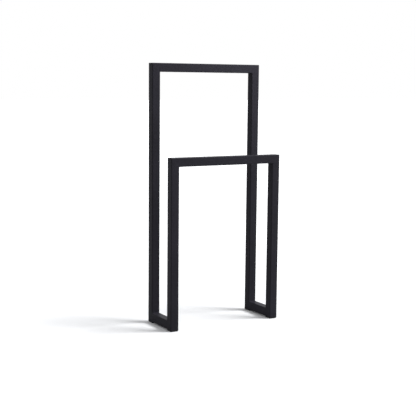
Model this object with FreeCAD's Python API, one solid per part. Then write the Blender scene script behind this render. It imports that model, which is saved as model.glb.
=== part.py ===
# Freestanding towel stand: a tall rear frame and a lower front frame of square steel tube,
# each an upside-down U with a towel rail on top, welded to two foot rails near the floor.
# It stands on four moulded glides pushed into the open lower ends of the uprights.
#
# Millimetres. +X runs along the towel rails, +Y from the front frame to the rear one, +Z up.
# The origin is on the floor, in the middle of the stand.

import FreeCAD, Part
import math
import os

# ---- Overall sizes -------------------------------------------------------------------
stand_width = 430.0       # over the outer faces of the left and right uprights
stand_depth = 170.0       # over the front face of one frame and the rear face of the other
rear_height = 900.0       # floor to the top face of the rear towel rail
front_height = 587.0      # floor to the top face of the front towel rail

# ---- Square tube ---------------------------------------------------------------------
tube_side = 30.0          # outer width, both ways
tube_wall = 1.5           # thickness of the steel
tube_corner = 3.0         # outer corner radius
least_bore_corner = 0.3   # a cold-formed bore is never quite sharp in its corners
vent_diameter = 6.0       # hole between foot rail and upright, so trapped air can expand
vent_below_roof = 2.5     # from the roof of the foot rail's bore down to the hole's edge

# ---- Welds ---------------------------------------------------------------------------
mitre_gap = 1.0           # root gap between two mitred tube ends, filled with weld metal
bead_leg = 2.5            # leg of the concave bead in an inner corner

# ---- Glides --------------------------------------------------------------------------
glide_head = 5.0          # thickness of the head that shows under the tube
glide_edge = 4.0          # radius of the head's lower edges
glide_stem = 16.0         # how far the stem reaches up into the tube
glide_core_wall = 2.0     # wall of the stem's hollow core
rib_count = 3             # gripping ribs round the stem
rib_reach = 1.8           # how far a rib stands out from the core
rib_thickness = 1.4       # along the tube
rib_clearance = 0.1       # between a pressed-in rib and the bore, each side
stem_corner = 1.5         # radius of the core's corners
stem_lead_in = 0.8        # chamfer round the top of the stem

# ---- Worked out from the sizes above -------------------------------------------------
half_tube = tube_side / 2
bore_side = tube_side - 2 * tube_wall
bore_corner = max(tube_corner - tube_wall, least_bore_corner)
flat_width = tube_side - 2 * tube_corner
upright_x = stand_width / 2 - half_tube
upright_y = stand_depth / 2 - half_tube
foot_top = glide_head + tube_side
vent_height = foot_top - tube_wall - vent_below_roof - vent_diameter / 2
cutter_size = stand_width + stand_depth + rear_height

V = FreeCAD.Vector
UP = V(0, 0, 1)
ALONG_X = V(1, 0, 0)
ALONG_Y = V(0, 1, 0)

sides = {"left": -1, "right": 1}
frames = {"rear": (1, rear_height), "front": (-1, front_height)}


def square_face(side, corner):
    """A rounded square in the XY plane, centred on the origin."""
    half = side / 2
    flat = half - corner
    on_arc = flat + corner * math.sqrt(0.5)
    edges = []
    for quarter in range(4):
        turn = FreeCAD.Rotation(UP, 90 * quarter)
        points = [V(half, -flat, 0), V(half, flat, 0), V(on_arc, on_arc, 0), V(flat, half, 0)]
        begin, arc_begin, arc_middle, arc_end = [turn.multVec(point) for point in points]
        edges.append(Part.LineSegment(begin, arc_begin).toShape())
        edges.append(Part.Arc(arc_begin, arc_middle, arc_end).toShape())
    return Part.Face(Part.Wire(edges))


def square_bar(side, corner, start, run):
    """A solid bar of rounded square section, with its axis from start along run."""
    bar = square_face(side, corner).extrude(UP * run.Length)
    bar.Placement = FreeCAD.Placement(start, FreeCAD.Rotation(UP, run))
    return bar


def tube(start, run):
    """A length of the square tube, with its axis from start along run."""
    outside = square_bar(tube_side, tube_corner, start, run)
    bore = square_bar(bore_side, bore_corner, start, run)
    return outside.cut(bore)


def beyond(point, normal):
    """Everything near the stand on one side of a plane, the side that normal points to."""
    turn = FreeCAD.Rotation(UP, normal)
    block = Part.makeBox(cutter_size, cutter_size, cutter_size)
    block.translate(V(-cutter_size / 2, -cutter_size / 2, 0))
    block.Placement = FreeCAD.Placement(point, turn).multiply(block.Placement)
    return block


def concave_fill(corner, along_one, along_other, leg, run):
    """Weld metal with a hollow face in a right-angled corner, centred there along run."""
    toe_one = corner + along_one * leg
    toe_other = corner + along_other * leg
    centre = corner + (along_one + along_other) * leg
    throat = centre - (along_one + along_other).normalize() * leg
    outline = [
        Part.LineSegment(corner, toe_one).toShape(),
        Part.Arc(toe_one, throat, toe_other).toShape(),
        Part.LineSegment(toe_other, corner).toShape(),
    ]
    section = Part.Face(Part.Wire(outline))
    section.translate(run * -0.5)
    return section.extrude(run)


# ---- Top corners: where an upright and a towel rail meet in a mitre ------------------

def mitre(side, depth_sign, height):
    """The outer corner point of a mitre, and the direction across it into the rail."""
    corner = V(side * stand_width / 2, depth_sign * upright_y, height)
    return corner, V(-side, 0, 1).normalize()


def mitre_weld(side, depth_sign, height):
    """Weld metal in the root gap of a mitre, and the bead in its inner corner."""
    corner, across = mitre(side, depth_sign, height)
    stub = 2 * tube_side
    upright_end = V(side * upright_x, depth_sign * upright_y, height)
    upright_half = tube(upright_end, UP * -stub)
    upright_half = upright_half.cut(beyond(corner, across))
    upright_half = upright_half.cut(beyond(corner - across * (mitre_gap / 2), across * -1))
    rail_end = corner - UP * half_tube
    rail_half = tube(rail_end, ALONG_X * (-side * stub))
    rail_half = rail_half.cut(beyond(corner, across * -1))
    rail_half = rail_half.cut(beyond(corner + across * (mitre_gap / 2), across))
    inner_corner = corner + V(-side, 0, -1) * tube_side
    bead_run = ALONG_Y * flat_width
    bead = concave_fill(inner_corner, ALONG_X * -side, UP * -1, bead_leg, bead_run)
    return upright_half.fuse([rail_half, bead]).removeSplitter()


# ---- Tubes ---------------------------------------------------------------------------

def upright(side, depth_sign, height):
    """An upright, mitred at the top, with a vent hole into the foot rail's bore."""
    foot = V(side * upright_x, depth_sign * upright_y, glide_head)
    corner, across = mitre(side, depth_sign, height)
    body = tube(foot, UP * (height - glide_head))
    body = body.cut(beyond(corner - across * (mitre_gap / 2), across))
    vent_start = V(foot.x, foot.y, vent_height)
    vent = Part.makeCylinder(vent_diameter / 2, half_tube, vent_start, ALONG_Y * -depth_sign)
    return body.cut(vent)


def top_rail(depth_sign, height):
    """A towel rail, mitred at both ends."""
    left_end = V(-stand_width / 2, depth_sign * upright_y, height - half_tube)
    body = tube(left_end, ALONG_X * stand_width)
    for side in sides.values():
        corner, across = mitre(side, depth_sign, height)
        body = body.cut(beyond(corner + across * (mitre_gap / 2), across * -1))
    return body


def foot_rail(side):
    """A foot rail, cut square between the inner faces of the front and rear uprights."""
    length = stand_depth - 2 * tube_side
    return tube(V(side * upright_x, -length / 2, glide_head + half_tube), ALONG_Y * length)


# ---- Foot corners: where a foot rail butts against an upright ------------------------

def foot_weld(side, depth_sign):
    """Weld metal that makes the rail's sides flush with the upright, and the bead on top."""
    rail_end = V(side * upright_x, depth_sign * (upright_y - half_tube), glide_head + half_tube)
    into_upright = ALONG_Y * depth_sign
    rail_start = rail_end - into_upright * tube_side
    rail_run_on = square_bar(tube_side, tube_corner, rail_start, into_upright * 2 * tube_side)
    pieces = []
    for outward in sides.values():
        corner = rail_end + ALONG_X * (outward * half_tube)
        inward = ALONG_X * -outward
        seam = concave_fill(corner, inward, into_upright, tube_corner, UP * tube_side)
        pieces += seam.common(rail_run_on).Solids
    bead_corner = rail_end + UP * half_tube
    bead_run = ALONG_X * flat_width
    pieces.append(concave_fill(bead_corner, into_upright * -1, UP, bead_leg, bead_run))
    return Part.Compound(pieces)


# ---- Glides --------------------------------------------------------------------------

def rounded_slab():
    """The head's section with its two rounded lower edges, carried straight along Y."""
    straight = half_tube - glide_edge
    on_arc = glide_edge * (1 - math.sqrt(0.5))
    low_left, low_right = V(-straight, 0, 0), V(straight, 0, 0)
    edge_left, edge_right = V(-half_tube, 0, glide_edge), V(half_tube, 0, glide_edge)
    top_left, top_right = V(-half_tube, 0, glide_head), V(half_tube, 0, glide_head)
    round_left, round_right = V(on_arc - half_tube, 0, on_arc), V(half_tube - on_arc, 0, on_arc)
    outline = [
        Part.LineSegment(low_left, low_right).toShape(),
        Part.Arc(low_right, round_right, edge_right).toShape(),
        Part.LineSegment(edge_right, top_right).toShape(),
        Part.LineSegment(top_right, top_left).toShape(),
        Part.LineSegment(top_left, edge_left).toShape(),
        Part.Arc(edge_left, round_left, low_left).toShape(),
    ]
    section = Part.Face(Part.Wire(outline))
    section.translate(ALONG_Y * -half_tube)
    return section.extrude(ALONG_Y * tube_side)


def glide_head_block():
    """The glide's head: as wide as the tube, with all four lower edges rounded."""
    block = square_bar(tube_side, tube_corner, V(0, 0, 0), UP * glide_head)
    turned = rounded_slab()
    turned.rotate(V(0, 0, 0), UP, 90)
    return block.common(rounded_slab()).common(turned)


def glide_stem_block():
    """The stem: a hollow core with gripping ribs that fill the tube's bore."""
    seat = V(0, 0, glide_head)
    rib_side = bore_side - 2 * rib_clearance
    core_side = rib_side - 2 * rib_reach
    core = square_bar(core_side, stem_corner, seat, UP * glide_stem)
    half_way = glide_head + glide_stem / 2
    top_edges = [edge for edge in core.Edges if edge.BoundBox.ZMin > half_way]
    core = core.makeChamfer(stem_lead_in, top_edges)
    rib_pitch = glide_stem / (rib_count + 1)
    for rib in range(rib_count):
        middle = glide_head + (rib + 1) * rib_pitch
        start = V(0, 0, middle - rib_thickness / 2)
        core = core.fuse(square_bar(rib_side, bore_corner, start, UP * rib_thickness))
    hollow = square_bar(core_side - 2 * glide_core_wall, stem_corner, seat, UP * glide_stem)
    return core.cut(hollow)


def glide(side, depth_sign):
    """A moulded glide, seated in the open lower end of an upright."""
    body = glide_head_block().fuse(glide_stem_block()).removeSplitter()
    body.translate(V(side * upright_x, depth_sign * upright_y, 0))
    return body


# ---- Build ---------------------------------------------------------------------------

def save(name, shape):
    """Write one node's file, and print what it holds."""
    shape.exportStep(f"parts/{name}.step")
    print(name, len(shape.Solids), "solids", round(shape.Volume, 1), "mm3, valid", shape.isValid())


os.makedirs("parts", exist_ok=True)

for frame_name, (depth_sign, height) in frames.items():
    save(f"{frame_name}_top_rail", top_rail(depth_sign, height))
    for side_name, side in sides.items():
        save(f"{frame_name}_{side_name}_upright", upright(side, depth_sign, height))
        save(f"mitre_weld_{frame_name}_{side_name}", mitre_weld(side, depth_sign, height))
        save(f"foot_weld_{frame_name}_{side_name}", foot_weld(side, depth_sign))
        save(f"glide_{frame_name}_{side_name}", glide(side, depth_sign))

for side_name, side in sides.items():
    save(f"{side_name}_foot_rail", foot_rail(side))
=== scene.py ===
# A freestanding towel stand: a tall rear frame and a lower front frame of square steel tube,
# welded to two foot rails, powder coated in one dark colour, and stood on four moulded glides.
# Metres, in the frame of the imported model: +X along the towel rails, +Y to the rear, +Z up.

import math

import bpy
import numpy as np
from mathutils import Matrix, Vector


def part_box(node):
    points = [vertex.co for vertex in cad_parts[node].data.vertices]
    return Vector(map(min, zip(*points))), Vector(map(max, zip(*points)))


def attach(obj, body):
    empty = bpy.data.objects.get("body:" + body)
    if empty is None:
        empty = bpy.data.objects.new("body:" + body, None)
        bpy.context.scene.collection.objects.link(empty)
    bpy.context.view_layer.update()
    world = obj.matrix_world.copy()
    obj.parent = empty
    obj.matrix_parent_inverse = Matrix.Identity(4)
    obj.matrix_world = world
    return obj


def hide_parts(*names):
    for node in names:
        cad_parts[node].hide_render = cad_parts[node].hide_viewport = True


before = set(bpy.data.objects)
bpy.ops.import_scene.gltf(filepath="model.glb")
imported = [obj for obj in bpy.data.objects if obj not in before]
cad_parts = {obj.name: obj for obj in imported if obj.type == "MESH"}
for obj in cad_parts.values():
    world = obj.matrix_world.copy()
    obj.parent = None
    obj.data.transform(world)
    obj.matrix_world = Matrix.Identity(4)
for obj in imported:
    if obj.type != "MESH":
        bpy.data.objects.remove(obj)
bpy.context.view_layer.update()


# ---- The eight square tubes ----------------------------------------------------------
# Cold-formed steel tube, 30 mm square. The uprights and the two towel rails are mitred at the
# top corners. The foot rails are cut square and butt between the uprights, 5 mm off the floor.
# Sawn ends are deburred before welding, and the whole stand is coated once it is welded.

MM = 0.001
TUBE_HALF = 15.0 * MM
TUBE_WALL = 1.5 * MM
TUBE_CORNER = 3.0 * MM
SAWN_EDGE = 0.2 * MM  # rounding that deburring leaves on a sawn end
END_BAND = 0.8 * MM  # a ring this far from an end keeps the faces' shading flat up to there
SEAM_HALF = 1.2 * MM  # along a tube, from the middle of a ground mitre's band to its edge
SHARP_EDGE = math.radians(35)  # an edge that turns more than this is shaded as a crisp one

CORNER_STEPS = 8
FACE_STEPS = 10
LENGTH_STEPS = 24
SAWN_EDGE_STEPS = 3

SIDES = {"left": -1, "right": 1}
FRAMES = {"rear": 1, "front": -1}


def square_outline(half, corner, face_steps=FACE_STEPS):
    """Points and outward normals round a rounded square, anticlockwise from its +X face.

    A quarter is a flat from -(half - corner) to half - corner along the +X face, at x = half,
    then an arc of radius corner about (half - corner, half - corner). The flat's points crowd
    to its ends as a cosine does. The other quarters are this one turned by 90, 180, 270 degrees.
    """
    flat = half - corner
    along = -np.cos(np.linspace(0, np.pi, face_steps + 1)[:-1]) * flat
    turn = np.linspace(0, np.pi / 2, CORNER_STEPS + 1)[:-1]
    x = np.concatenate([np.full(face_steps, half), flat + corner * np.cos(turn)])
    y = np.concatenate([along, flat + corner * np.sin(turn)])
    normal_x = np.concatenate([np.ones(face_steps), np.cos(turn)])
    normal_y = np.concatenate([np.zeros(face_steps), np.sin(turn)])
    quarter = np.arange(4)[:, None] * np.pi / 2
    cosine, sine = np.cos(quarter), np.sin(quarter)
    points = np.stack([x * cosine - y * sine, x * sine + y * cosine], -1)
    normals = np.stack(
        [normal_x * cosine - normal_y * sine, normal_x * sine + normal_y * cosine], -1
    )
    return points.reshape(-1, 2), normals.reshape(-1, 2)


def grid_faces(rows, columns, close_rows, close_columns):
    """Quads between the neighbouring points of a grid, joined end to end where it closes.

    They face the way of the row direction crossed with the column direction. Every grid here
    has its rows and columns in the order that turns this outwards.
    """
    row = np.arange(rows if close_rows else rows - 1)[:, None]
    column = np.arange(columns if close_columns else columns - 1)[None, :]
    next_row, next_column = (row + 1) % rows, (column + 1) % columns
    corners = [
        row * columns + column,
        next_row * columns + column,
        next_row * columns + next_column,
        row * columns + next_column,
    ]
    return np.stack(corners, -1).reshape(-1, 4).tolist()


def add_piece(name, points, faces, material, slot, *nodes):
    """One smooth-shaded piece that rides on the stand in place of the CAD nodes named."""
    mesh = bpy.data.meshes.new(name)
    mesh.from_pydata(points.reshape(-1, 3).tolist(), [], faces)
    mesh.shade_smooth()
    mesh.set_sharp_from_angle(angle=SHARP_EDGE)
    mesh.materials.append(material)
    mesh.update()
    piece = bpy.data.objects.new(name, mesh)
    bpy.context.scene.collection.objects.link(piece)
    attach(piece, "root")
    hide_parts(*nodes)


def tube_surface(start, axis, across, cut_start, cut_end):
    """A hollow tube as one closed surface of two parameters.

    Round the tube the point follows the rounded square, and through the wall it goes up the
    outside, over the far end, down the bore and back over the near end. At each parameter the
    point is start + section + axis times s, and s is where that line meets the end's cutting
    plane, stepped back by the rounding of the sawn edge, or by END_BAND in the rings next to
    it. A cut is (point on plane, normal).
    """
    start, axis, across = (np.array(vector, float) for vector in (start, axis, across))
    third = np.cross(axis, across)
    turn = np.linspace(0, np.pi / 2, SAWN_EDGE_STEPS + 1)
    edge_depth = np.concatenate([[0.0], SAWN_EDGE * (1 - np.cos(turn))])
    edge_back = np.concatenate([[END_BAND], SAWN_EDGE * (1 - np.sin(turn))])
    end_depth = np.concatenate([edge_depth, TUBE_WALL - edge_depth[::-1]])
    end_back = np.concatenate([edge_back, edge_back[::-1]])
    along = np.linspace(0, 1, LENGTH_STEPS + 1)[1:-1]
    plain, far, near = np.zeros(along.size), np.ones(end_back.size), np.zeros(end_back.size)
    depth = np.concatenate([plain, end_depth, end_depth[::-1]])
    step = np.concatenate([plain, -end_back, end_back[::-1]])
    share = np.concatenate([along, far, near])
    outside, outward = square_outline(TUBE_HALF, TUBE_CORNER)
    section = outside[:, None, :] - outward[:, None, :] * depth[None, :, None]
    flat = section[..., :1] * across + section[..., 1:] * third
    reach = [
        ((np.array(point) - start - flat) @ np.array(normal)) / (axis @ np.array(normal))
        for point, normal in (cut_start, cut_end)
    ]
    run = reach[0] + (reach[1] - reach[0]) * share + step
    return start + flat + run[..., None] * axis, grid_faces(*run.shape, True, True)


def linear(colour):
    """The linear colour of an sRGB hex value such as "#26262b", by the sRGB curve."""
    parts = [int(colour[i : i + 2], 16) / 255 for i in (1, 3, 5)]
    return [p / 12.92 if p <= 0.04045 else ((p + 0.055) / 1.055) ** 2.4 for p in parts] + [1.0]


def add_node(tree, kind, values={}, links={}, **settings):
    """Add one shader node: its properties, the values of its sockets and what feeds them."""
    node = tree.nodes.new(kind)
    for name, value in settings.items():
        setattr(node, name, value)
    for socket, value in values.items():
        node.inputs[socket].default_value = value
    for socket, source in links.items():
        tree.links.new(source, node.inputs[socket])
    return node


MIX_DARK, MIX_PALE, MIXED = 6, 7, 2  # the sockets of a Mix node that mixes colours


def new_material(name):
    """A node material with no nodes yet, and the tree that they go in."""
    material = bpy.data.materials.new(name)
    material.use_nodes = True
    material.node_tree.nodes.clear()
    return material, material.node_tree


# Polyester powder coat, sprayed on and baked to a fine matt texture. It gives the eye a soft
# near-black with a cold tint, even on the faces, brighter where it is seen at a low angle.
# Its real grain is about 0.4 mm across and 0.025 mm high. It is drawn four times as coarse,
# and the clouds of shade that it makes at 7 mm, since finer ones would not show at the size
# the stand is seen. The texture scatters nearly all the gloss that a smooth coat would have.

COAT_DARK, COAT_PALE = "#28272c", "#302f36"
COAT_CLOUD = 7.0 * MM
COAT_DRIFT = 130.0 * MM  # slow change in film thickness along a tube
COAT_GRAIN = 1.6 * MM
COAT_GRAIN_HEIGHT = 0.10 * MM
COAT_SUM_DARK, COAT_SUM_PALE = 1.15, 1.85  # sums of the three noises that give the two colours
COAT_ROUGHNESS = 0.32
CLOUD_LOW, CLOUD_HIGH = 0.3, 0.7  # the cloud noise's usual range
CLOUD_ROUGHNESS = 0.04  # how far the clouds change the roughness either way
COAT_IOR = 1.5
COAT_GLOSS = 0.015  # specular level


def powder_coat(name, dark, pale, roughness):
    """The coat's colour, roughness and grain, all from noise in object coordinates."""
    material, tree = new_material(name)
    place = add_node(tree, "ShaderNodeTexCoord").outputs["Object"]
    cloud, drift, grain = (
        add_node(
            tree,
            "ShaderNodeTexNoise",
            {"Scale": 1 / size, "Detail": octaves, "Roughness": fineness},
            {"Vector": place},
        ).outputs[0]
        for size, octaves, fineness in (
            (COAT_CLOUD, 3.0, 0.6),
            (COAT_DRIFT, 1.0, 0.5),
            (COAT_GRAIN, 2.0, 0.5),
        )
    )
    clouds = add_node(tree, "ShaderNodeMath", {}, {0: cloud, 1: drift}, operation="ADD")
    total = add_node(
        tree, "ShaderNodeMath", {}, {0: clouds.outputs[0], 1: grain}, operation="ADD"
    )
    shade = add_node(
        tree,
        "ShaderNodeMapRange",
        {"From Min": COAT_SUM_DARK, "From Max": COAT_SUM_PALE},
        {"Value": total.outputs[0]},
    )
    colour = add_node(
        tree,
        "ShaderNodeMix",
        {MIX_DARK: linear(dark), MIX_PALE: linear(pale)},
        {0: shade.outputs[0]},
        data_type="RGBA",
    )
    dullness = add_node(
        tree,
        "ShaderNodeMapRange",
        {
            "From Min": CLOUD_LOW,
            "From Max": CLOUD_HIGH,
            "To Min": roughness - CLOUD_ROUGHNESS,
            "To Max": roughness + CLOUD_ROUGHNESS,
        },
        {"Value": cloud},
    )
    relief = add_node(
        tree,
        "ShaderNodeBump",
        {"Strength": 1.0, "Distance": COAT_GRAIN_HEIGHT},
        {"Height": grain},
    )
    shader = add_node(
        tree,
        "ShaderNodeBsdfPrincipled",
        {"IOR": COAT_IOR, "Specular IOR Level": COAT_GLOSS},
        {
            "Base Color": colour.outputs[MIXED],
            "Roughness": dullness.outputs[0],
            "Normal": relief.outputs[0],
        },
    )
    add_node(tree, "ShaderNodeOutputMaterial", {}, {"Surface": shader.outputs[0]})
    return material


coat = powder_coat("powder_coated_steel_fine_texture", COAT_DARK, COAT_PALE, COAT_ROUGHNESS)


def middle(node):
    """The middle of a CAD node's box, as an array."""
    low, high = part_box(node)
    return (np.array(low) + np.array(high)) / 2


def mitre_cut(frame_name, side_name, shift):
    """A top corner's 45 degree cut, as a point on its plane and the plane's normal.

    The plane goes through the frame's outer corner. It is moved by shift, as measured along a
    tube: above 0 it moves in along the rail, and below 0 down the upright.
    """
    side = SIDES[side_name]
    post_low, post_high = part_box(f"{frame_name}_{side_name}_upright")
    rail_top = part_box(f"{frame_name}_top_rail")[1].z
    corner = np.array([post_high.x if side > 0 else post_low.x, 0, rail_top])
    normal = np.array([-side, 0, 1]) / math.sqrt(2)
    return corner + normal * shift / math.sqrt(2), normal


for frame_name in FRAMES:
    for side_name in SIDES:
        node = f"{frame_name}_{side_name}_upright"
        foot = middle(node) * [1, 1, 0] + [0, 0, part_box(node)[0].z]
        cuts = (foot, (0, 0, 1)), mitre_cut(frame_name, side_name, -SEAM_HALF)
        surface = tube_surface(foot, (0, 0, 1), (1, 0, 0), *cuts)
        add_piece(f"upright_{frame_name}_{side_name}", *surface, coat, "powder_coat", node)
    node = f"{frame_name}_top_rail"
    cuts = (mitre_cut(frame_name, side_name, SEAM_HALF) for side_name in SIDES)
    surface = tube_surface(middle(node), (1, 0, 0), (0, 1, 0), *cuts)
    add_piece(f"towel_rail_{frame_name}", *surface, coat, "powder_coat", node)

for side_name in SIDES:
    node = f"{side_name}_foot_rail"
    cuts = ((end, (0, 1, 0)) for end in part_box(node))
    surface = tube_surface(middle(node), (0, 1, 0), (0, 0, 1), *cuts)
    add_piece(f"foot_rail_{side_name}", *surface, coat, "powder_coat", node)


# ---- The four mitre welds ------------------------------------------------------------
# Each top corner is welded all round its mitre. Outside, the weld is ground flush and its arris
# eased. In the inner corner it stays a small hollow bead, with the ripples that the torch left.

WELD_LAP = 0.1 * MM  # how far a ground weld laps onto the tube beside it
BEAD_LEG = 2.5 * MM  # from the inner corner to either toe of the bead
WELD_DEPTH = 1.2 * MM  # fusion into the tube's wall
TOE_DIP = 0.06 * MM  # the coat dips this much along both toes of a weld
DIP_FILL = 0.7  # share of that dip which is made up in the middle of the weld
RIPPLE_PITCH = 1.5 * MM
RIPPLE_HEIGHT = 0.12 * MM
RIPPLE_BOW = 0.35  # share of a pitch by which a ripple's middle runs ahead
RIPPLE_FADE = 8  # the higher this power, the sooner the ripples die out beside the bead
WELD_STEPS = 16  # across a weld
MITRE_FACE_STEPS = 160  # along each face of the tube, so that the ripples are smooth


def weld_strip(start, corner, end, start_normal, end_normal, bead, along):
    """Weld metal along a seam between two surfaces, as a closed loop at each point of the seam.

    Across the seam the face is the quadratic Bezier curve (1-t)^2 start + 2t(1-t) corner +
    t^2 end, t from 0 to 1. It is moved along the blended normals by a dip at both toes,
    -TOE_DIP (1 - DIP_FILL sin pi t), and by ripples, which are bead^RIPPLE_FADE times
    RIPPLE_HEIGHT sin(pi t) (1 + cos of 2 pi times along / RIPPLE_PITCH, bowed in the middle)
    / 2. The loop then closes through three points that lie WELD_DEPTH inside the metal below
    end, corner and start.
    """
    t = np.linspace(0, 1, WELD_STEPS + 1)[None, :, None]
    face = (1 - t) ** 2 * start[:, None] + 2 * t * (1 - t) * corner[:, None] + t**2 * end[:, None]
    normal = (1 - t) * start_normal[:, None] + t * end_normal[:, None]
    normal /= np.linalg.norm(normal, axis=-1, keepdims=True)
    bow = RIPPLE_BOW * (1 - (2 * t - 1) ** 2)
    wave = (1 + np.cos(2 * np.pi * (along[:, None, None] / RIPPLE_PITCH + bow))) / 2
    ripple = (bead**RIPPLE_FADE)[:, None, None] * RIPPLE_HEIGHT * np.sin(np.pi * t) * wave
    face = face + normal * (ripple - TOE_DIP * (1 - DIP_FILL * np.sin(np.pi * t)))
    facing = np.sum(start_normal * end_normal, axis=-1, keepdims=True)
    buried = [
        end - WELD_DEPTH * end_normal,
        corner - WELD_DEPTH * (start_normal + end_normal) / (1 + facing),
        start - WELD_DEPTH * start_normal,
    ]
    return np.concatenate([face, np.stack(buried, 1)], axis=1)


# The same coat over weld metal. The ground and rippled metal leaves it a little paler and duller
# than on the rolled tube, so that a seam gives the eye a faint line.

WELD_COAT_DARK, WELD_COAT_PALE = "#2b2a2f", "#333239"
WELD_COAT_ROUGHNESS = 0.6

weld_coat = powder_coat(
    "powder_coated_weld_metal", WELD_COAT_DARK, WELD_COAT_PALE, WELD_COAT_ROUGHNESS
)

# The seam follows the tube's outline on the mitre's 45 degree plane. It starts on the upright, a
# leg below the plane's edge, and ends on the rail, a leg beside it. The leg is SEAM_HALF and a
# lap, and goes over to BEAD_LEG in the inner corner by the cosine squared of the outline's turn.
(x, y), (normal_x, normal_y) = (
    ring.T for ring in square_outline(TUBE_HALF, TUBE_CORNER, MITRE_FACE_STEPS)
)
zero = np.zeros(x.size)
for frame_name in FRAMES:
    rail_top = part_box(f"{frame_name}_top_rail")[1].z
    for side_name, side in SIDES.items():
        post = middle(f"{frame_name}_{side_name}_upright")
        corner = np.stack([post[0] + x, post[1] + y, rail_top + side * x - TUBE_HALF], -1)
        inner = np.clip(-side * normal_x, 0, 1) ** 2
        leg = (SEAM_HALF + WELD_LAP) * (1 - inner) + BEAD_LEG * inner
        start = corner - np.stack([zero, zero, leg], -1)
        end = corner - np.stack([side * leg, zero, zero], -1)
        start_normal = np.stack([normal_x, normal_y, zero], -1)
        end_normal = np.stack([zero, normal_y, side * normal_x], -1)
        seam = weld_strip(start, corner, end, start_normal, end_normal, inner, y)
        add_piece(
            f"mitre_seam_{frame_name}_{side_name}",
            seam,
            grid_faces(*seam.shape[:2], True, True),
            weld_coat,
            "powder_coat",
            f"mitre_weld_{frame_name}_{side_name}",
        )


# ---- The four foot welds -------------------------------------------------------------
# A foot rail's end butts against the rounded edge of an upright. The grooves at its two sides are
# filled and ground flush, and a small bead is left along the top. Underneath, nothing is welded.

FACE_HALF = TUBE_HALF - TUBE_CORNER
FOOT_FACE_STEPS = 140  # along each face of the rail, so that the ripples are smooth


def groove_depth(x):
    """How far an upright's surface lies behind its flat face, x from the middle of the face.

    It is 0 on the flat. With p the distance past the flat, it is the drop of the rounded edge,
    TUBE_CORNER less the root of TUBE_CORNER^2 - p^2, and a lap of WELD_LAP (p / TUBE_CORNER)^2.
    """
    past = np.clip(np.abs(x) - FACE_HALF, 0, TUBE_CORNER)
    return TUBE_CORNER - np.sqrt(TUBE_CORNER**2 - past**2) + WELD_LAP * (past / TUBE_CORNER) ** 2


# The seam follows three quarters of the rail's outline: up one side, over the top and down the
# other side, from the middle of one lower corner to the middle of the other. It starts on the
# rail, a leg back from its end, and ends on the upright, as deep as the groove goes there. The
# leg is a lap at the sides and goes over to BEAD_LEG on top by the cosine squared of the
# outline's turn. On top the bead also climbs the upright, by BEAD_LEG times that cosine.
(x, z), (normal_x, normal_z) = (
    np.roll(ring, CORNER_STEPS // 2, axis=0)[: 3 * len(ring) // 4 + 1].T
    for ring in square_outline(TUBE_HALF, TUBE_CORNER, FOOT_FACE_STEPS)
)
zero = np.zeros(x.size)
top = np.clip(normal_z, 0, 1)
depth = groove_depth(x)
lean = np.clip((np.abs(x) - FACE_HALF) / TUBE_CORNER, 0, 1)
leg = WELD_LAP * (1 - top**2) + BEAD_LEG * top**2
start_normal = np.stack([normal_x, zero, normal_z], -1)
for side_name in SIDES:
    rail_low, rail_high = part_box(f"{side_name}_foot_rail")
    rail = middle(f"{side_name}_foot_rail")
    for frame_name, frame_sign in FRAMES.items():
        rail_end = rail_high.y if frame_sign > 0 else rail_low.y
        on_rail = np.stack([rail[0] + x, zero + rail_end, rail[2] + z], -1)
        into_post = np.array([0, frame_sign, 0])
        start = on_rail - into_post * leg[:, None]
        corner = on_rail + into_post * (depth * (1 + top) / 2)[:, None]
        end = on_rail + into_post * depth[:, None] + np.stack([zero, zero, BEAD_LEG * top], -1)
        end_normal = np.stack([np.sign(x) * lean, -frame_sign * np.sqrt(1 - lean**2), zero], -1)
        seam = weld_strip(start, corner, end, start_normal, end_normal, top, x)
        if frame_sign > 0:
            seam = seam[:, ::-1]  # at the rear the loops run the other way, to face outwards
        rows, columns = seam.shape[:2]
        loop = np.arange(columns)
        caps = [loop.tolist(), (loop + (rows - 1) * columns)[::-1].tolist()]
        add_piece(
            f"foot_seam_{frame_name}_{side_name}",
            seam,
            grid_faces(rows, columns, False, True) + caps,
            weld_coat,
            "powder_coat",
            f"foot_weld_{frame_name}_{side_name}",
        )


# ---- The four glides -----------------------------------------------------------------
# Injection-moulded polyethylene plugs, pushed into the sawn lower ends of the uprights. The head
# is as wide as the tube, with a large radius below and the moulding gate's dimple in the middle.

HEAD_TOP = 5.0 * MM
HEAD_LOWER_EDGE = 4.0 * MM
HEAD_UPPER_EDGE = 0.3 * MM
UNDERSIDE_CORNER = 0.8 * MM  # corner radius of the flat underside
LOWER_EDGE_STEPS = 8
UPPER_EDGE_STEPS = 3
STEM_TOP = 21.0 * MM
STEM_HALF, STEM_CORNER, STEM_LEAD_IN = 11.6 * MM, 1.5 * MM, 0.8 * MM
HOLLOW_HALF = 9.6 * MM
RIB_HALF, RIB_THICKNESS = 13.4 * MM, 1.4 * MM
RIB_MIDDLES = np.array([9.0, 13.0, 17.0]) * MM

# Rows of half width, corner radius and height: the gate's dimple, then the flat round it.
GATE_AND_FLAT = MM * np.array(
    [(1.05, 0.9, 0.3), (1.35, 1.2, 0.21), (1.5, 1.35, 0.0), (4.4, 3.3, 0.0), (8.8, 2.2, 0.0)]
)


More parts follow.
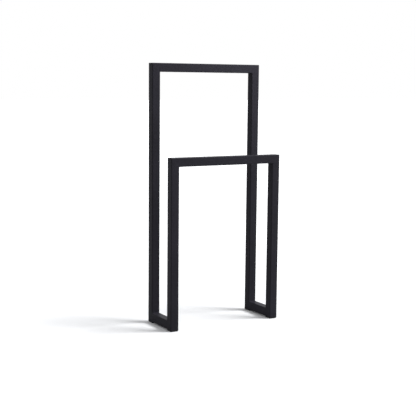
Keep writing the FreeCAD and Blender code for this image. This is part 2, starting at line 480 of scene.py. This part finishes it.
def glide_rows():
    """The glide's outline at each level, as rows of half width, corner radius and height.

    From the middle of the underside: the gate's dimple, the flat, the head's lower edge as a
    quarter circle, its side, the eased upper edge, the shoulder, the stem with its three ribs,
    its lead-in, and back down inside to the floor of the hollow.
    """
    turn = np.linspace(0, np.pi / 2, LOWER_EDGE_STEPS + 1)
    lower = np.stack(
        [
            TUBE_HALF - HEAD_LOWER_EDGE + HEAD_LOWER_EDGE * np.sin(turn),
            UNDERSIDE_CORNER + (TUBE_CORNER - UNDERSIDE_CORNER) * np.sin(turn),
            HEAD_LOWER_EDGE * (1 - np.cos(turn)),
        ],
        -1,
    )
    turn = np.linspace(0, np.pi / 2, UPPER_EDGE_STEPS + 1)
    inset = HEAD_UPPER_EDGE * (1 - np.cos(turn))
    height = HEAD_TOP - HEAD_UPPER_EDGE * (1 - np.sin(turn))
    upper = np.stack([TUBE_HALF - inset, TUBE_CORNER - inset, height], -1)
    shoulder = [(STEM_HALF, STEM_CORNER, HEAD_TOP)]
    ribs = [
        (half, STEM_CORNER, level + edge * RIB_THICKNESS / 2)
        for level in RIB_MIDDLES
        for half, edge in ((STEM_HALF, -1), (RIB_HALF, -1), (RIB_HALF, 1), (STEM_HALF, 1))
    ]
    stem_end = [
        (STEM_HALF, STEM_CORNER, STEM_TOP - STEM_LEAD_IN),
        (STEM_HALF - STEM_LEAD_IN, STEM_CORNER, STEM_TOP),
        (HOLLOW_HALF, STEM_CORNER, STEM_TOP),
        (HOLLOW_HALF, STEM_CORNER, HEAD_TOP),
    ]
    return np.concatenate([GATE_AND_FLAT, lower, upper, shoulder, ribs, stem_end])


# Black polyethylene, moulded against a spark-eroded tool. It gives the eye a flat black, a shade
# deeper than the coat, with a dull sheen on its round edges. The texture's real grain is 0.15 mm.
# It is drawn at 0.9 mm, since a finer one would not show.

GLIDE_DARK, GLIDE_PALE = "#19191a", "#1f1f20"
GLIDE_FLOW = 9.0 * MM  # cloudy shade where the melt flowed
GLIDE_GRAIN = 0.9 * MM
GLIDE_GRAIN_HEIGHT = 0.015 * MM
GLIDE_ROUGHNESS_LOW, GLIDE_ROUGHNESS_HIGH = 0.45, 0.6
GLIDE_IOR = 1.51
GLIDE_GLOSS = 0.2  # specular level

moulding, tree = new_material("polyethylene_moulded_black")
place = add_node(tree, "ShaderNodeTexCoord").outputs["Object"]
flow, grain = (
    add_node(
        tree, "ShaderNodeTexNoise", {"Scale": 1 / size, "Detail": 2.0}, {"Vector": place}
    ).outputs[0]
    for size in (GLIDE_FLOW, GLIDE_GRAIN)
)
colour = add_node(
    tree,
    "ShaderNodeMix",
    {MIX_DARK: linear(GLIDE_DARK), MIX_PALE: linear(GLIDE_PALE)},
    {0: flow},
    data_type="RGBA",
)
dullness = add_node(
    tree,
    "ShaderNodeMapRange",
    {"To Min": GLIDE_ROUGHNESS_LOW, "To Max": GLIDE_ROUGHNESS_HIGH},
    {"Value": flow},
)
relief = add_node(
    tree, "ShaderNodeBump", {"Strength": 1.0, "Distance": GLIDE_GRAIN_HEIGHT}, {"Height": grain}
)
shader = add_node(
    tree,
    "ShaderNodeBsdfPrincipled",
    {"IOR": GLIDE_IOR, "Specular IOR Level": GLIDE_GLOSS},
    {
        "Base Color": colour.outputs[MIXED],
        "Roughness": dullness.outputs[0],
        "Normal": relief.outputs[0],
    },
)
add_node(tree, "ShaderNodeOutputMaterial", {}, {"Surface": shader.outputs[0]})

# Each level is a rounded square at its own height, and the skin runs from level to level. It is
# closed by the dimple's floor at one end and the hollow's floor at the other.
levels = glide_rows()
rings = np.stack([square_outline(half, corner)[0] for half, corner in levels[:, :2]], 1)
plug = np.concatenate([rings, np.broadcast_to(levels[:, 2:], rings.shape[:2] + (1,))], -1)
rows, columns = plug.shape[:2]
ring = np.arange(rows) * columns
caps = [ring[::-1].tolist(), (ring + columns - 1).tolist()]
plug_faces = grid_faces(rows, columns, True, False) + caps
for frame_name in FRAMES:
    for side_name in SIDES:
        node = f"glide_{frame_name}_{side_name}"
        add_piece(
            f"floor_glide_{frame_name}_{side_name}",
            plug + middle(node) * [1, 1, 0],
            plug_faces,
            moulding,
            "glide_plastic",
            node,
        )


# ---- Floor and sky -------------------------------------------------------------------
# A plain pale floor under an even sky. Both look white, and the floor keeps the stand's shadow.
# What they throw at the stand is set apart from how they look.

bpy.context.scene.view_settings.view_transform = "Standard"

WHITE = (1, 1, 1, 1)
SKY_LEVEL = 0.56  # what the sky throws at the stand
SKY_SEEN = 1.0  # how bright it looks, which is white
FLOOR_HALF = 40.0
FLOOR_COLOUR = "#f5f6f8"
FLOOR_SHADE = "#909090"  # what the floor throws back at the stand
FLOOR_LIFT_NEAR, FLOOR_LIFT_FAR = 0.0, 0.3  # brightness added to how the floor looks
LIFT_FROM, LIFT_TO = 0.25, 1.5  # distances from the stand's middle over which that rises


def visible_rays(tree):
    """1 for the rays that see the background: from the camera, or by gloss or glass."""
    path = add_node(tree, "ShaderNodeLightPath")
    gloss = add_node(
        tree,
        "ShaderNodeMath",
        {},
        {0: path.outputs["Is Camera Ray"], 1: path.outputs["Is Glossy Ray"]},
        operation="MAXIMUM",
    )
    glass = add_node(
        tree,
        "ShaderNodeMath",
        {},
        {0: gloss.outputs[0], 1: path.outputs["Is Transmission Ray"]},
        operation="MAXIMUM",
    )
    return glass.outputs[0]


world = bpy.data.worlds.new("even_studio_sky")
bpy.context.scene.world = world
world.use_nodes = True
sky = world.node_tree
sky.nodes.clear()
light = add_node(sky, "ShaderNodeBackground", {"Color": WHITE, "Strength": SKY_LEVEL})
seen = add_node(sky, "ShaderNodeBackground", {"Color": WHITE, "Strength": SKY_SEEN})
both = add_node(
    sky, "ShaderNodeMixShader", {}, {0: visible_rays(sky), 1: light.outputs[0], 2: seen.outputs[0]}
)
add_node(sky, "ShaderNodeOutputWorld", {}, {"Surface": both.outputs[0]})

floor_paint, tree = new_material("floor_pale_matt_paint")
matt = add_node(tree, "ShaderNodeBsdfDiffuse", {"Color": linear(FLOOR_COLOUR)})
thrown = add_node(tree, "ShaderNodeBsdfDiffuse", {"Color": linear(FLOOR_SHADE)})
spot = add_node(tree, "ShaderNodeTexCoord").outputs["Object"]
distance = add_node(tree, "ShaderNodeVectorMath", {}, {0: spot}, operation="LENGTH")
glow = add_node(
    tree,
    "ShaderNodeMapRange",
    {
        "From Min": LIFT_FROM,
        "From Max": LIFT_TO,
        "To Min": FLOOR_LIFT_NEAR,
        "To Max": FLOOR_LIFT_FAR,
    },
    {"Value": distance.outputs["Value"]},
    interpolation_type="SMOOTHSTEP",
)
lift = add_node(tree, "ShaderNodeEmission", {"Color": WHITE}, {"Strength": glow.outputs[0]})
lifted = add_node(tree, "ShaderNodeAddShader", {}, {0: matt.outputs[0], 1: lift.outputs[0]})
shown = add_node(
    tree,
    "ShaderNodeMixShader",
    {},
    {0: visible_rays(tree), 1: thrown.outputs[0], 2: lifted.outputs[0]},
)
add_node(tree, "ShaderNodeOutputMaterial", {}, {"Surface": shown.outputs[0]})

floor_mesh = bpy.data.meshes.new("floor")
floor_mesh.from_pydata(
    [(x * FLOOR_HALF, y * FLOOR_HALF, 0) for x, y in ((-1, -1), (1, -1), (1, 1), (-1, 1))],
    [],
    [(0, 1, 2, 3)],
)
floor_mesh.materials.append(floor_paint)
floor = bpy.data.objects.new("floor", floor_mesh)
bpy.context.scene.collection.objects.link(floor)


# ---- Lamps ---------------------------------------------------------------------------
# A distant key lamp high on the right front casts the soft shadows. Two softboxes near the stand
# light its upper right and its lower right a little more.

KEY_AZIMUTH = math.radians(-30)  # towards the lamp, from +X
KEY_HEIGHT = math.radians(54)
KEY_WIDTH = math.radians(24)  # how wide the lamp is seen from the stand
KEY_LEVEL = 0.82


def aimed(direction):
    """The turn of a lamp whose light travels along direction."""
    return Vector(direction).to_track_quat("-Z", "Y").to_euler()


def softbox(name, place, aim, size, watts, spread):
    """A square softbox that hangs at place and faces aim. Its grid holds the light to a spread."""
    lamp = bpy.data.lights.new(name, "AREA")
    lamp.shape = "SQUARE"
    lamp.size = size
    lamp.energy = watts
    lamp.spread = math.radians(spread)
    box = bpy.data.objects.new(name, lamp)
    box.location = place
    box.rotation_euler = aimed(Vector(aim) - Vector(place))
    bpy.context.scene.collection.objects.link(box)


softbox(
    "top_softbox", place=(0.45, -0.5, 1.15), aim=(0.05, 0.07, 0.88), size=0.4, watts=1.3, spread=90
)
softbox(
    "low_softbox", place=(1.0, -0.6, 0.3), aim=(0.1, 0.0, 0.35), size=0.5, watts=3.4, spread=180
)

key = bpy.data.lights.new("key_lamp", "SUN")
key.energy = KEY_LEVEL * math.pi
key.angle = KEY_WIDTH
key_lamp = bpy.data.objects.new("key_lamp", key)
key_lamp.rotation_euler = aimed(
    (
        -math.cos(KEY_AZIMUTH) * math.cos(KEY_HEIGHT),
        -math.sin(KEY_AZIMUTH) * math.cos(KEY_HEIGHT),
        -math.sin(KEY_HEIGHT),
    )
)
bpy.context.scene.collection.objects.link(key_lamp)


# ---- Camera --------------------------------------------------------------------------
# It stands 3.3 m from the stand, to its left front, near the height of the rear rail, and looks
# slightly down. Its place, turns and lens were fitted to the tubes' edges in the photograph.

IMAGE_SIDE = 416  # pixels
FOCAL_PIXELS = 962.15
SENSOR_WIDTH = 36.0  # millimetres
CAMERA_PLACE = Vector((-1701.64, -2873.88, 832.21)) * MM
CAMERA_YAW, CAMERA_PITCH, CAMERA_ROLL = 0.5281, -0.1287, 0.0096  # in radians, from level +Y

forward = Vector(
    (
        math.sin(CAMERA_YAW) * math.cos(CAMERA_PITCH),
        math.cos(CAMERA_YAW) * math.cos(CAMERA_PITCH),
        math.sin(CAMERA_PITCH),
    )
)
level_right = Vector((math.cos(CAMERA_YAW), -math.sin(CAMERA_YAW), 0))
level_up = level_right.cross(forward)
right = level_right * math.cos(CAMERA_ROLL) + level_up * math.sin(CAMERA_ROLL)
up = level_up * math.cos(CAMERA_ROLL) - level_right * math.sin(CAMERA_ROLL)
turned = Matrix((right, up, -forward)).transposed().to_4x4()
lens = bpy.data.cameras.new("camera")
lens.sensor_fit = "HORIZONTAL"
lens.sensor_width = SENSOR_WIDTH
lens.lens = FOCAL_PIXELS / IMAGE_SIDE * SENSOR_WIDTH
camera = bpy.data.objects.new("camera", lens)
camera.matrix_world = Matrix.Translation(CAMERA_PLACE) @ turned
bpy.context.scene.collection.objects.link(camera)
bpy.context.scene.camera = camera
